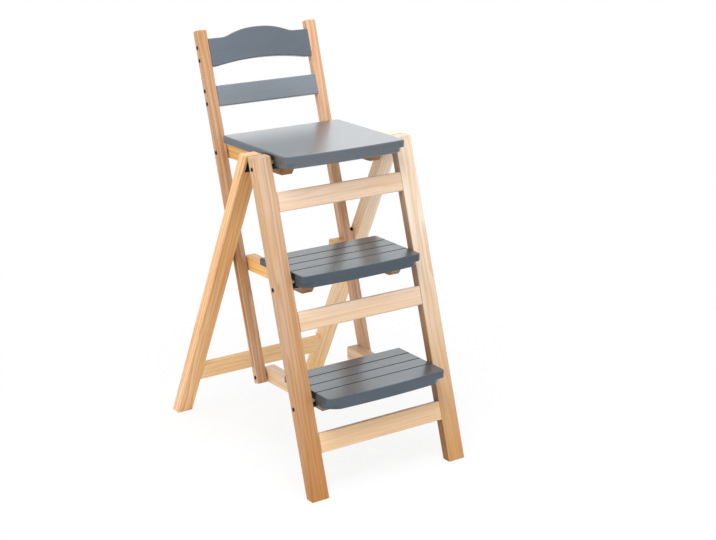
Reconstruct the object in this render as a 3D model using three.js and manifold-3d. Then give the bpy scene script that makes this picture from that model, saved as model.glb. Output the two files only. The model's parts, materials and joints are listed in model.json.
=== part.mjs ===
// Folding step stool chair in pine: a leaning front frame, a rear frame hinged to its top, and a back
// frame that the seat and the two steps carry like a parallelogram. Guide pins on the rear legs run in
// long blind slots in the back posts, so lifting the seat folds the back and the rear legs together.
// Millimetres, +Z up, +Y to the rear, +X to the right as seen from the front.
import * as THREE from 'three';
import { mergeVertices } from 'three/addons/utils/BufferGeometryUtils.js';
import Module from 'manifold-3d';

const wasm = await Module();
wasm.setup();

// Clearances and cuts
const seatGap = 0.3; // between pieces that are glued or screwed together
const runningGap = 0.4; // round a bolt or pin that turns or slides
const overrun = 5; // how far a cutter passes the face that it opens

// Front frame
const frameWidth = 398;
const frontLean = THREE.MathUtils.degToRad(17.2);
const legTopHeight = 684;
const frontLegWidth = 43;
const frontLegDepth = 21;
const footChamfer = 1.5;
const woodEdge = 1.5; // softened long edges of legs, posts and rails

// Rungs between the front legs
const rungHeight = 41.4;
const rungThickness = 16;
const lowRungDrop = 54.1; // its top edge, below the pivots over it, as the next two
const midRungDrop = 48.75;
const highRungDrop = 47.9;
const rungEdgeRadius = 3;
const tenonLength = 22;
const tenonThickness = 9;
const tenonHeight = 29;

// Rear frame
const rearLean = THREE.MathUtils.degToRad(-26.6);
const rearLegDepth = 26;
const rearLegRelief = 5; // the rear legs are narrower by this, on their inner side
const rearRailHeight = 45;
const rearRailThickness = 17;
const rearRailTopHeight = 130.6;
const rearRailEdgeRadius = 3;

// Butt hinges between the leg tops
const hingeDrop = 5; // pin axis below the leg tops
const barrelRadius = 2.9;
const hingePinRadius = 1.2;
const hingePinGap = 0.3;
const leafThickness = 1.5;
const leafWidth = 25;
const leafLength = 38;
const leafRelief = 0.7; // between a leaf's upper edge and the other leaf's knuckle
const knuckleCount = 3;
const knuckleGap = 0.3;

// Pivots of the seat and the steps
const seatPivotDrop = 24; // below the leg tops
const pivotPitch = 237.75;
const linkReach = 231; // front pivot to rear pivot, along the floor
const linkDrop = 15; // and downwards
const foldAngle = THREE.MathUtils.degToRad(59);

// Seat and step boards: a slab, and a nosing under its front edge
const boardAbovePivot = 28.5; // board top over the front pivot
const slabThickness = 16;
const frontThickness = 26; // slab and nosing together
const boardSideGap = 7.5; // to the front legs
const frontBow = 6; // ends of the front edge, behind its middle
const slabFrontRadius = 10;
const slabBackRadius = 3;
const topEdgeRadius = 3.5;
const lowerChamfer = 1.5;
const leastCornerShare = 0.2; // of a corner's radius, where an edge draws the corner in
const nosingBack = 7; // in front of the front pivots
const nosingInset = 0.5; // inside the slab's edge
const nosingCornerShare = 0.7; // of the nosing's depth
const seatOverhang = 58.3; // in front of the front pivots, as the next two
const upperOverhang = 45;
const lowerOverhang = 63.5;
const seatSetIn = 25.2; // back edge of the seat, in front of the rear pivots
const stepDepth = 176.5;
const grooveWidth = 2.4;
const grooveDepth = 2;
const grooveCount = 3;
const frontStripDepth = 56.5;

// Rails under the boards
const railSlit = 2.5; // between rail and back post, filled by a washer at the pivot
const railThickness = 28;
const railDrop = 23.5; // lower edge at the nose, below the front pivot
const railTailDrop = 29; // and at the tail
const railHeel = 6.5; // foot of the slanted nose, behind the front pivot
const railNose = 10; // tip of the nose, in front of it
const railTail = 11; // behind the rear pivot
const railTailRadius = 4;

// Back frame
const legPostGap = 4;
const postThickness = 24;
const postDepth = 18.5;
const postTail = 14; // below the lowest rear pivot
const postTop = 266.2; // above the highest one
const postEndChamfer = 2;
const slotWidth = 7;
const slotDepth = 8;
const slotFloor = 3; // wood left between the slot and the bolt that ends under it

// Backrest, with its heights measured up the posts from the highest rear pivot
const crestThickness = 17;
const crestSetBack = 0.5; // behind the posts' front faces
const crestBottom = 184.9;
const crestEndHeight = 61.8;
const crestRise = 17;
const crestFlatShare = 0.74; // inner end of a shoulder, of the rail's half length, as the next three
const crestLowShare = 0.55; // lower handle of the hump's curve
const crestHighShare = 0.47; // upper handle
const crestArchShare = 0.9; // end of the arch below
const crestArchRise = 10.3;
const slatBottom = 98.2;
const slatHeight = 45.5;
const backrestEdge = 2;

// Bolts, nuts, sleeves, washers, screws and guide pins
const boltRadius = 3;
const boltHeadRadius = 3.9;
const boltHeadHeight = 2.6;
const boltHeadRound = 0.8;
const headRecess = 0.4; // bolt and screw heads, below the wood
const nutRadius = 4.2;
const nutFlangeRadius = 5.4;
const nutFlangeHeight = 1.6;
const sleeveRadius = 5.5;
const washerRadius = 6;
const screwRadius = 2.2;
const screwHeadRadius = 3.6;
const screwHeadHeight = 1.6;
const screwGrip = 26; // into the end grain
const screwSpread = 14; // each side of the rail's middle
const screwSetBack = 2.5; // behind the posts' middle
const guidePinRadius = 3;
const guideCollarRadius = 6;
const guidePinOffset = 7; // behind the middle of the rear legs

// Facets
const roundSegments = 16;
const screwSegments = 10;
const cornerSteps = 4;
const bowSteps = 6;
const curveSteps = 16;

// Looks
const pine = { color: 0xdcb98c, roughness: 0.55, metalness: 0 };
const greyPaint = { color: 0x707b86, roughness: 0.4, metalness: 0 };
const blackSteel = { color: 0x1c1c1e, roughness: 0.4, metalness: 0.6 };

// Places across the chair, for its right half
const legOuterX = frameWidth / 2;
const frontLegInnerX = legOuterX - frontLegWidth;
const rearLegInnerX = frontLegInnerX + rearLegRelief;
const postOuterX = frontLegInnerX - legPostGap;
const postInnerX = postOuterX - postThickness;
const railOuterX = postInnerX - railSlit;
const railInnerX = railOuterX - railThickness;
const boardHalfWidth = frontLegInnerX - boardSideGap;
const slotFloorX = postOuterX - slotDepth;

// Places in the side view, as (y, z) points with y from the middle of the front feet
const seatPivotHeight = legTopHeight - seatPivotDrop;
const upperPivotHeight = seatPivotHeight - pivotPitch;
const pivotHeights = [upperPivotHeight - pivotPitch, upperPivotHeight, seatPivotHeight];
const frontPivots = pivotHeights.map((z) => new THREE.Vector2(z * Math.tan(frontLean), z));
const pivotsUpLegs = pivotHeights.map((z) => z / Math.cos(frontLean));
const pivotsUpPosts = pivotsUpLegs.map((place) => place - pivotsUpLegs[0]);
const backrestBase = pivotsUpPosts[2];
const link = new THREE.Vector2(linkReach, -linkDrop);
const postPivot = frontPivots[0].clone().add(link);
const hingeOffset = barrelRadius + seatGap;
const hingeAxis = findHingeAxis();
const rearFoot = findRearFoot();
const slotTopAt = guidePinPlace(0);
const slotBottomAt = guidePinPlace(foldAngle);

// Direction up a leaning member, and out of its rear face
function up(lean) {
  return new THREE.Vector2(Math.sin(lean), Math.cos(lean));
}

function rearward(lean) {
  return new THREE.Vector2(Math.cos(lean), -Math.sin(lean));
}

// The hinge barrel touches the rear faces of the front legs
function findHingeAxis() {
  const height = legTopHeight - hingeDrop;
  const faceOffset = frontLegDepth / 2 + hingeOffset;
  return new THREE.Vector2(height * Math.tan(frontLean) + faceOffset / Math.cos(frontLean), height);
}

// The rear legs' front faces touch the barrel too
function findRearFoot() {
  const faceOffset = rearLegDepth / 2 + hingeOffset;
  const run = hingeAxis.y * Math.tan(-rearLean);
  return new THREE.Vector2(hingeAxis.x + run + faceOffset / Math.cos(rearLean), 0);
}

// Place of the guide pin along the back post when the chair is folded by an angle. The pin keeps its
// distance to the hinge axis, and the post keeps its lean while the links carry it round.
function guidePinPlace(angle) {
  const reach = restingPin().distanceTo(hingeAxis);
  const carried = link.clone().rotateAround(new THREE.Vector2(), angle);
  const fromHinge = frontPivots[0].clone().add(carried).sub(hingeAxis);
  const along = fromHinge.dot(up(frontLean));
  return -along - Math.sqrt(along * along - fromHinge.lengthSq() + reach * reach);
}

// Where the pin's line on the rear leg crosses the middle of the back post, with the chair open
function restingPin() {
  const legLine = rearward(rearLean).multiplyScalar(guidePinOffset).add(rearFoot);
  const legUp = up(rearLean);
  const postUp = up(frontLean);
  const between = legLine.clone().sub(postPivot);
  const place = between.cross(legUp) / postUp.cross(legUp);
  return postUp.multiplyScalar(place).add(postPivot);
}

// A closed solid from a geometry: shared corners are joined and empty triangles left out
function toSolid(geometry) {
  const bare = geometry.clone();
  bare.deleteAttribute('normal');
  bare.deleteAttribute('uv');
  const merged = mergeVertices(bare);
  const corners = merged.index.array;
  const triangles = [];
  for (let i = 0; i < corners.length; i += 3) {
    const [a, b, c] = corners.slice(i, i + 3);
    if (a !== b && b !== c && c !== a) {
      triangles.push(a, b, c);
    }
  }
  const mesh = new wasm.Mesh({
    numProp: 3,
    vertProperties: merged.attributes.position.array,
    triVerts: new Uint32Array(triangles),
  });
  return new wasm.Manifold(mesh);
}

function toGeometry(solid) {
  const mesh = solid.getMesh();
  const geometry = new THREE.BufferGeometry();
  geometry.setAttribute('position', new THREE.BufferAttribute(new Float32Array(mesh.vertProperties), 3));
  geometry.setIndex(new THREE.BufferAttribute(new Uint32Array(mesh.triVerts), 1));
  geometry.computeVertexNormals();
  return geometry;
}

// A geometry with others joined to it and others cut from it
function shaped(geometry, additions, cuts) {
  let solid = toSolid(geometry);
  for (const addition of additions) {
    solid = solid.add(toSolid(addition));
  }
  for (const cut of cuts) {
    solid = solid.subtract(toSolid(cut));
  }
  return toGeometry(solid);
}

// The same piece for the other side of the chair
function mirrored(geometry) {
  const other = geometry.clone();
  other.scale(-1, 1, 1);
  const corners = other.index.array;
  for (let i = 0; i < corners.length; i += 3) {
    [corners[i], corners[i + 1]] = [corners[i + 1], corners[i]];
  }
  other.computeVertexNormals();
  return other;
}

function addPiece(group, name, geometry, look) {
  const piece = new THREE.Mesh(geometry, new THREE.MeshStandardMaterial(look));
  piece.name = name;
  group.add(piece);
}

function addPair(group, name, geometry, look) {
  addPiece(group, `${name}_left`, mirrored(geometry), look);
  addPiece(group, `${name}_right`, geometry, look);
}

// A group whose z runs up a leaning member and whose y points out of its rear face
function leaningGroup(lean, origin) {
  const group = new THREE.Group();
  group.rotation.x = -lean;
  group.position.set(0, origin.x, origin.y);
  return group;
}

// A shape drawn in the side view, (y, z), and extruded across the chair with softened edges
function extrudeAcross(outline, fromX, toX, edge) {
  const geometry = new THREE.ExtrudeGeometry(outline, {
    depth: toX - fromX - 2 * edge,
    bevelEnabled: edge > 0,
    bevelThickness: edge,
    bevelSize: edge,
    bevelOffset: -edge,
    bevelSegments: 1,
    curveSegments: cornerSteps,
  });
  geometry.translate(0, 0, fromX + edge);
  const yAxis = new THREE.Vector3(0, 1, 0);
  const zAxis = new THREE.Vector3(0, 0, 1);
  const xAxis = new THREE.Vector3(1, 0, 0);
  geometry.applyMatrix4(new THREE.Matrix4().makeBasis(yAxis, zAxis, xAxis));
  return geometry;
}

function boxAcross(fromX, toX, fromY, toY, fromZ, toZ) {
  const box = new THREE.BoxGeometry(toX - fromX, toY - fromY, toZ - fromZ);
  box.translate((fromX + toX) / 2, (fromY + toY) / 2, (fromZ + toZ) / 2);
  return box;
}

// A round bar across the chair
function barAcross(radius, fromX, toX, y, z, segments = roundSegments) {
  const bar = new THREE.CylinderGeometry(radius, radius, toX - fromX, segments);
  bar.rotateZ(-Math.PI / 2);
  bar.translate((fromX + toX) / 2, y, z);
  return bar;
}

// A turned piece round a line across the chair, from (radius, x) points
function turned(profile, y, z, segments = roundSegments) {
  const points = profile.map(([radius, x]) => new THREE.Vector2(radius, x));
  const geometry = new THREE.LatheGeometry(points, segments);
  geometry.rotateZ(-Math.PI / 2);
  geometry.translate(0, y, z);
  return shaped(geometry, [], []);
}

function ring(innerRadius, outerRadius, fromX, toX, y, z) {
  const profile = [
    [innerRadius, fromX],
    [outerRadius, fromX],
    [outerRadius, toX],
    [innerRadius, toX],
    [innerRadius, fromX],
  ];
  return turned(profile, y, z);
}

function polygon(points) {
  return new THREE.Shape(points.map(([y, z]) => new THREE.Vector2(y, z)));
}

function roundedRectangle(fromY, toY, fromZ, toZ, radius) {
  const shape = new THREE.Shape();
  shape.moveTo(fromY + radius, fromZ);
  shape.lineTo(toY - radius, fromZ);
  shape.quadraticCurveTo(toY, fromZ, toY, fromZ + radius);
  shape.lineTo(toY, toZ - radius);
  shape.quadraticCurveTo(toY, toZ, toY - radius, toZ);
  shape.lineTo(fromY + radius, toZ);
  shape.quadraticCurveTo(fromY, toZ, fromY, toZ - radius);
  shape.lineTo(fromY, fromZ + radius);
  shape.quadraticCurveTo(fromY, fromZ, fromY + radius, fromZ);
  return shape;
}

// Height up a leaning member, standing on the floor, at which its point y deep lies level
function levelAt(lean, height, y) {
  return (height + y * Math.sin(lean)) / Math.cos(lean);
}

// Side view of a leg: cut level at the floor and at the top, with its foot chamfered
function legOutline(lean, depth) {
  const half = depth / 2;
  return polygon([
    [-half + footChamfer, levelAt(lean, 0, -half + footChamfer)],
    [half - footChamfer, levelAt(lean, 0, half - footChamfer)],
    [half, levelAt(lean, footChamfer, half)],
    [half, levelAt(lean, legTopHeight, half)],
    [-half, levelAt(lean, legTopHeight, -half)],
    [-half, levelAt(lean, footChamfer, -half)],
  ]);
}

// A cross rail between two legs, flush with their front faces, and the mortises for its tenons
function crossRailPlace(lean, legDepth, thickness, topHeight, height) {
  const front = -legDepth / 2;
  const top = levelAt(lean, topHeight, front);
  return { front, thickness, top, height, middleY: front + thickness / 2, middleZ: top - height / 2 };
}

function tenonBox(place, shoulderX, growth, root) {
  return boxAcross(
    shoulderX - root,
    shoulderX + tenonLength + growth,
    place.middleY - tenonThickness / 2 - growth,
    place.middleY + tenonThickness / 2 + growth,
    place.middleZ - tenonHeight / 2 - growth,
    place.middleZ + tenonHeight / 2 + growth,
  );
}

function crossRail(place, legInnerX, edgeRadius) {
  const end = legInnerX - seatGap;
  const back = place.front + place.thickness;
  const section = roundedRectangle(place.front, back, place.top - place.height, place.top, edgeRadius);
  const tenon = tenonBox(place, legInnerX, 0, overrun);
  return shaped(extrudeAcross(section, -end, end, 0), [tenon, mirrored(tenon)], []);
}

// Bolt from a head sunk in an outer face, through the wood, into a connector nut in the rail
function throughBolt(faceX) {
  const tip = railInnerX - seatGap - nutFlangeHeight;
  const top = faceX - headRecess;
  const seat = top - boltHeadHeight;
  return turned([
    [0, tip],
    [nutFlangeRadius, tip],
    [nutFlangeRadius, tip + nutFlangeHeight],
    [nutRadius, tip + nutFlangeHeight],
    [nutRadius, railOuterX],
    [boltRadius, railOuterX],
    [boltRadius, seat],
    [boltHeadRadius, seat],
    [boltHeadRadius, top - boltHeadRound],
    [boltHeadRadius - boltHeadRound, top],
    [0, top],
  ], 0, 0);
}

// Room for a head that is sunk in an outer face
function headRoom(faceX, radius, height, y, z, segments = roundSegments) {
  const floor = faceX - headRecess - height - seatGap;
  return barAcross(radius + seatGap, floor, faceX + overrun, y, z, segments);
}

// Bolt from the rail into the post, ending in the wood under the slot
function blindBolt() {
  const tip = railInnerX - seatGap - nutFlangeHeight;
  const end = slotFloorX - slotFloor;
  return turned([
    [0, tip],
    [nutFlangeRadius, tip],
    [nutFlangeRadius, tip + nutFlangeHeight],
    [nutRadius, tip + nutFlangeHeight],
    [nutRadius, railOuterX],
    [boltRadius, railOuterX],
    [boltRadius, end],
    [0, end],
  ], 0, 0);
}

// Front frame: two legs, three rungs, pivot bolts with their sleeves, and the fixed hinge leaves
function makeFrontFrame() {
  const group = leaningGroup(frontLean, new THREE.Vector2());
  const rungs = [lowRungDrop, midRungDrop, highRungDrop].map((drop, level) => (
    crossRailPlace(frontLean, frontLegDepth, rungThickness, pivotHeights[level] - drop, rungHeight)
  ));
  const legCuts = [
    ...rungs.map((place) => tenonBox(place, frontLegInnerX, seatGap, overrun)),
    ...pivotsUpLegs.flatMap((z) => [
      barAcross(boltRadius + runningGap, frontLegInnerX - overrun, legOuterX + overrun, 0, z),
      headRoom(legOuterX, boltHeadRadius, boltHeadHeight, 0, z),
    ]),
  ];
  const legBlank = extrudeAcross(legOutline(frontLean, frontLegDepth), frontLegInnerX, legOuterX, woodEdge);
  addPair(group, 'front_leg', shaped(legBlank, [], legCuts), pine);
  ['front_rung_low', 'front_rung_mid', 'front_rung_high'].forEach((name, level) => {
    addPiece(group, name, crossRail(rungs[level], frontLegInnerX, rungEdgeRadius), pine);
  });
  ['step_1', 'step_2', 'seat'].forEach((name, level) => {
    addPair(group, `${name}_front_bolt`, moved(throughBolt(legOuterX), 0, pivotsUpLegs[level]), blackSteel);
    addPair(group, `${name}_sleeve`, moved(sleeve(), 0, pivotsUpLegs[level]), blackSteel);
  });
  const hingeZ = up(frontLean).dot(hingeAxis);
  addPair(group, 'hinge_front_leaf', moved(frontLeaf(), frontLegDepth / 2 + hingeOffset, hingeZ), blackSteel);
  return group;
}

function moved(geometry, y, z) {
  const place = geometry.clone();
  place.translate(0, y, z);
  return place;
}

function sleeve() {
  return ring(boltRadius + seatGap, sleeveRadius, railOuterX + seatGap, frontLegInnerX - seatGap, 0, 0);
}

// Ends of one hinge knuckle along the barrel
function knuckleSpan(index) {
  const middle = (rearLegInnerX + legOuterX) / 2;
  const width = leafWidth / knuckleCount;
  const from = middle - leafWidth / 2 + index * width;
  return [from + knuckleGap / 2, from + width - knuckleGap / 2];
}

// A hinge leaf hangs from the barrel axis at (0, 0). side is -1 for the front leaf and 1 for the rear one
function leafSolids(side, knuckles) {
  const middle = (rearLegInnerX + legOuterX) / 2;
  const faceY = side * barrelRadius;
  const innerY = side * (barrelRadius - leafThickness);
  const [fromY, toY] = [Math.min(faceY, innerY), Math.max(faceY, innerY)];
  const shoulder = -barrelRadius - leafRelief;
  const plate = boxAcross(middle - leafWidth / 2, middle + leafWidth / 2, fromY, toY, -leafLength, shoulder);
  const additions = [];
  for (const [fromX, toX] of knuckles.map(knuckleSpan)) {
    additions.push(boxAcross(fromX, toX, fromY, toY, shoulder - leafThickness, 0));
    additions.push(barAcross(barrelRadius, fromX, toX, 0, 0));
  }
  return { plate, additions };
}

function frontLeaf() {
  const { plate, additions } = leafSolids(-1, [0, 2]);
  const pin = barAcross(hingePinRadius, knuckleSpan(0)[0], knuckleSpan(2)[1], 0, 0);
  return shaped(plate, [...additions, pin], []);
}

function rearLeaf() {
  const { plate, additions } = leafSolids(1, [1]);
  const [fromX, toX] = knuckleSpan(1);
  const bore = barAcross(hingePinRadius + hingePinGap, fromX - overrun, toX + overrun, 0, 0);
  return shaped(plate, additions, [bore]);
}

// Rear frame: two legs, one cross rail and the moving hinge leaves
function makeRearFrame() {
  const group = leaningGroup(rearLean, rearFoot);
  const rail = crossRailPlace(rearLean, rearLegDepth, rearRailThickness, rearRailTopHeight, rearRailHeight);
  const legBlank = extrudeAcross(legOutline(rearLean, rearLegDepth), rearLegInnerX, legOuterX, woodEdge);
  const leg = shaped(legBlank, [], [tenonBox(rail, rearLegInnerX, seatGap, overrun)]);
  addPair(group, 'rear_leg', leg, pine);
  addPiece(group, 'rear_rail', crossRail(rail, rearLegInnerX, rearRailEdgeRadius), pine);
  const hingeZ = up(rearLean).dot(hingeAxis.clone().sub(rearFoot));
  addPair(group, 'hinge_rear_leaf', moved(rearLeaf(), -rearLegDepth / 2 - hingeOffset, hingeZ), blackSteel);
  return group;
}

// One closed ring round a slab or a nosing, drawn in by an inset: front corners, front edge, back corners
function planRing(plan, inset) {
  const points = [];
  const corners = [
    [-1, -1, plan.frontRadius],
    [1, -1, plan.frontRadius],
    [1, 1, plan.backRadius],
    [-1, 1, plan.backRadius],
  ];
  const depth = plan.back - plan.front;
  corners.forEach(([sideX, sideY, fullRadius], corner) => {
    const radius = Math.max(fullRadius - inset, fullRadius * leastCornerShare);
    const centreX = sideX * (plan.halfWidth - inset - radius);
    const centreY = plan.front + depth / 2 + sideY * (depth / 2 - inset - radius);
    for (let step = 0; step <= cornerSteps; step += 1) {
      const angle = (Math.PI / 2) * (corner + 2 + step / cornerSteps);
      points.push([centreX + radius * Math.cos(angle), centreY + radius * Math.sin(angle)]);
    }
  });
  const [edgeStart, edgeY] = points[cornerSteps];
  const edgePoints = Array.from({ length: bowSteps - 1 }, (_, index) => (
    [edgeStart * (1 - (2 * (index + 1)) / bowSteps), edgeY]
  ));
  points.splice(cornerSteps + 1, 0, ...edgePoints);
  return points.map(([x, y]) => [x, bowed(x, y, plan.bowFront)]);
}

// Towards the board's ends its front edge lies further back, which fades out at the nosing's back
function bowed(x, y, bowFront) {
  const share = Math.max(0, (y + nosingBack) / (bowFront + nosingBack));
  return y + frontBow * (x / boardHalfWidth) ** 2 * share;
}

// Insets and heights of the slab's rings: a small chamfer below, a round above
function slabLayers() {
  const bottom = boardAbovePivot - slabThickness;
  const layers = [[lowerChamfer, bottom], [0, bottom + lowerChamfer]];
  const topSteps = cornerSteps / 2;
  for (let step = 0; step <= topSteps; step += 1) {
    const angle = (Math.PI / 2) * (step / topSteps);
    const inset = topEdgeRadius * (1 - Math.cos(angle));
    layers.push([inset, boardAbovePivot - topEdgeRadius * (1 - Math.sin(angle))]);
  }
  return layers;
}

// The slab over the whole depth, joined to the nosing that stands up into it
function boardBlank(front, depth) {
  const slab = {
    front,
    back: front + depth,
    halfWidth: boardHalfWidth,
    frontRadius: slabFrontRadius,
    backRadius: slabBackRadius,
    bowFront: front,
  };
  const nosingFront = front + nosingInset;
  const nosing = {
    front: nosingFront,
    back: -nosingBack,
    halfWidth: boardHalfWidth - nosingInset,
    frontRadius: (-nosingBack - nosingFront) * nosingCornerShare,
    backRadius: slabBackRadius,
    bowFront: front,
  };
  const bottom = boardAbovePivot - frontThickness;
  const nosingLayers = [
    [lowerChamfer, bottom],
    [0, bottom + lowerChamfer],
    [0, boardAbovePivot - slabThickness + overrun],
  ];
  return shaped(ringStack(slab, slabLayers()), [ringStack(nosing, nosingLayers)], []);
}

// A stack of rings joined by walls, closed by a face below and one on top
function ringStack(plan, layers) {
  const rings = layers.map(([inset, z]) => planRing(plan, inset).map(([x, y]) => [x, y, z]));
  const count = rings[0].length;
  const triangles = [];
  for (let layer = 0; layer + 1 < rings.length; layer += 1) {
    for (let i = 0; i < count; i += 1) {
      const a = layer * count + i;
      const b = layer * count + ((i + 1) % count);
      triangles.push(a, b, b + count, a, b + count, a + count);
    }
  }
  const top = (rings.length - 1) * count;
  for (let i = 1; i + 1 < count; i += 1) {
    triangles.push(0, i + 1, i);
    triangles.push(top, top + i, top + i + 1);
  }
  const geometry = new THREE.BufferGeometry();
  geometry.setAttribute('position', new THREE.Float32BufferAttribute(rings.flat(2), 3));
  geometry.setIndex(triangles);
  return geometry;
}

// Grooves across a step, behind a wider front strip
function stepGrooves(front) {
  const pitch = (stepDepth - frontStripDepth) / grooveCount;
  return Array.from({ length: grooveCount }, (_, index) => {
    const middle = front + frontStripDepth + index * pitch;
    return boxAcross(
      -boardHalfWidth - overrun,
      boardHalfWidth + overrun,
      middle - grooveWidth / 2,
      middle + grooveWidth / 2,
      boardAbovePivot - grooveDepth,
      boardAbovePivot + overrun,
    );
  });
}

// Side view of a rail: slanted nose under the nosing, high top under the slab, and a lower top behind it
function railOutline(boardBack) {
  const lowTop = boardAbovePivot - frontThickness - seatGap;
  const highTop = boardAbovePivot - slabThickness - seatGap;
  const back = linkReach + railTail;
  const outline = new THREE.Shape();
  outline.moveTo(railHeel, -railDrop);
  outline.lineTo(back - railTailRadius, -railTailDrop);
  outline.quadraticCurveTo(back, -railTailDrop, back, -railTailDrop + railTailRadius);
  outline.lineTo(back, lowTop - railTailRadius);
  outline.quadraticCurveTo(back, lowTop, back - railTailRadius, lowTop);
  outline.lineTo(boardBack - woodEdge, lowTop);
  outline.lineTo(boardBack - woodEdge, highTop);
  outline.lineTo(seatGap - nosingBack, highTop);
  outline.lineTo(seatGap - nosingBack, lowTop);
  outline.lineTo(-railNose, lowTop);
  return outline;
}

function railPiece(boardBack) {
  const from = railInnerX - overrun;
  const to = railOuterX + overrun;
  const holes = [
    barAcross(nutRadius + runningGap, from, to, 0, 0),
    barAcross(nutRadius + runningGap, from, to, linkReach, -linkDrop),
  ];
  return shaped(extrudeAcross(railOutline(boardBack), railInnerX, railOuterX, woodEdge), [], holes);
}

// A board on its two rails, turning about the front pivot
function makeBoardGroup(name, pivot, front, depth, grooves) {
  const group = new THREE.Group();
  group.position.set(0, pivot.x, pivot.y);
  addPiece(group, `${name}_board`, shaped(boardBlank(front, depth), [], grooves), greyPaint);
  addPair(group, `${name}_rail`, railPiece(front + depth), pine);
  return group;
}

// Side view of a back post: square ends with small chamfers
function postOutline() {
  const half = postDepth / 2;
  const top = backrestBase + postTop;
  return polygon([
    [-half + postEndChamfer, -postTail],
    [half - postEndChamfer, -postTail],
    [half, -postTail + postEndChamfer],
    [half, top - postEndChamfer],
    [half - postEndChamfer, top],
    [-half + postEndChamfer, top],
    [-half, top - postEndChamfer],
    [-half, -postTail + postEndChamfer],
  ]);
}

// The blind slot with round ends in a post's outer face
function slotCutter() {
  const radius = slotWidth / 2;
  const outline = new THREE.Shape();
  outline.moveTo(radius, slotBottomAt);
  outline.lineTo(radius, slotTopAt);
  outline.absarc(0, slotTopAt, radius, 0, Math.PI, false);
  outline.lineTo(-radius, slotBottomAt);
  outline.absarc(0, slotBottomAt, radius, Math.PI, 2 * Math.PI, false);
  return extrudeAcross(outline, slotFloorX, postOuterX + overrun, 0);
}

// Middles of the slat's and the crest rail's ends, up the posts
function backrestMiddles() {
  return [slatBottom + slatHeight / 2, crestBottom + crestEndHeight / 2].map((z) => backrestBase + z);
}

// Places up the post of the two screws at each end of a backrest rail
function screwPlaces() {
  return backrestMiddles().flatMap((middle) => [middle - screwSpread, middle + screwSpread]);
}

function postPiece() {
  const from = postInnerX - overrun;
  const to = postOuterX + overrun;
  const boltHole = boltRadius + runningGap;
  const [lowPivot, upperPivot, seatPivot] = pivotsUpPosts;
  const cuts = [
    slotCutter(),
    barAcross(boltHole, from, slotFloorX - slotFloor + seatGap, 0, upperPivot),
  ];
  for (const z of [lowPivot, seatPivot]) {
    cuts.push(barAcross(boltHole, from, to, 0, z));
    cuts.push(headRoom(postOuterX, boltHeadRadius, boltHeadHeight, 0, z));
  }
  for (const z of screwPlaces()) {
    cuts.push(barAcross(screwRadius + seatGap, from, to, screwSetBack, z, screwSegments));
    cuts.push(headRoom(postOuterX, screwHeadRadius, screwHeadHeight, screwSetBack, z, screwSegments));
  }
  return shaped(extrudeAcross(postOutline(), postInnerX, postOuterX, woodEdge), [], cuts);
}

// Front view of the crest rail: flat shoulders, a hump that swings up from them, an arched lower edge
function crestOutline(half) {
  const bottom = backrestBase + crestBottom;
  const shoulder = bottom + crestEndHeight;
  const peak = shoulder + crestRise;
  const [flat, low, high] = [crestFlatShare, crestLowShare, crestHighShare].map((share) => share * half);
  const arch = crestArchShare * half;
  const outline = new THREE.Shape();
  outline.moveTo(-half, bottom);
  outline.lineTo(-arch, bottom);
  outline.quadraticCurveTo(0, bottom + 2 * crestArchRise, arch, bottom);
  outline.lineTo(half, bottom);
  outline.lineTo(half, shoulder);
  outline.lineTo(flat, shoulder);
  outline.bezierCurveTo(low, shoulder, high, peak, 0, peak);
  outline.bezierCurveTo(-high, peak, -low, shoulder, -flat, shoulder);
  outline.lineTo(-half, shoulder);
  return outline;
}

function slatOutline(half) {
  const bottom = backrestBase + slatBottom;
  const top = bottom + slatHeight;
  return polygon([[-half, bottom], [half, bottom], [half, top], [-half, top]]);
}

// A backrest rail: its front view extruded rearwards, with pilot holes for the screws in its ends
function backrestRail(outline, middle, half) {
  const geometry = new THREE.ExtrudeGeometry(outline, {
    depth: crestThickness - 2 * backrestEdge,
    bevelThickness: backrestEdge,
    bevelSize: backrestEdge,
    bevelOffset: -backrestEdge,
    bevelSegments: 2,
    curveSegments: curveSteps,
  });
  geometry.rotateX(Math.PI / 2);
  geometry.translate(0, crestThickness - backrestEdge + crestSetBack - postDepth / 2, 0);
  const holes = [];
  for (const z of [middle - screwSpread, middle + screwSpread]) {
    for (const side of [-1, 1]) {
      const ends = [side * (half - screwGrip - seatGap), side * (half + overrun)];
      const hole = screwRadius + seatGap;
      holes.push(barAcross(hole, Math.min(...ends), Math.max(...ends), screwSetBack, z, screwSegments));
    }
  }
  return shaped(geometry, [], holes);
}

function screwPiece() {
  const tip = postInnerX - screwGrip;
  const top = postOuterX - headRecess;
  const seat = top - screwHeadHeight;
  return turned([
    [0, tip],
    [screwRadius, tip + screwRadius],
    [screwRadius, seat],
    [screwHeadRadius, seat],
    [screwHeadRadius, top - screwHeadHeight / 2],
    [screwHeadRadius - screwHeadHeight / 2, top],
    [0, top],
  ], screwSetBack, 0, screwSegments);
}

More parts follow.
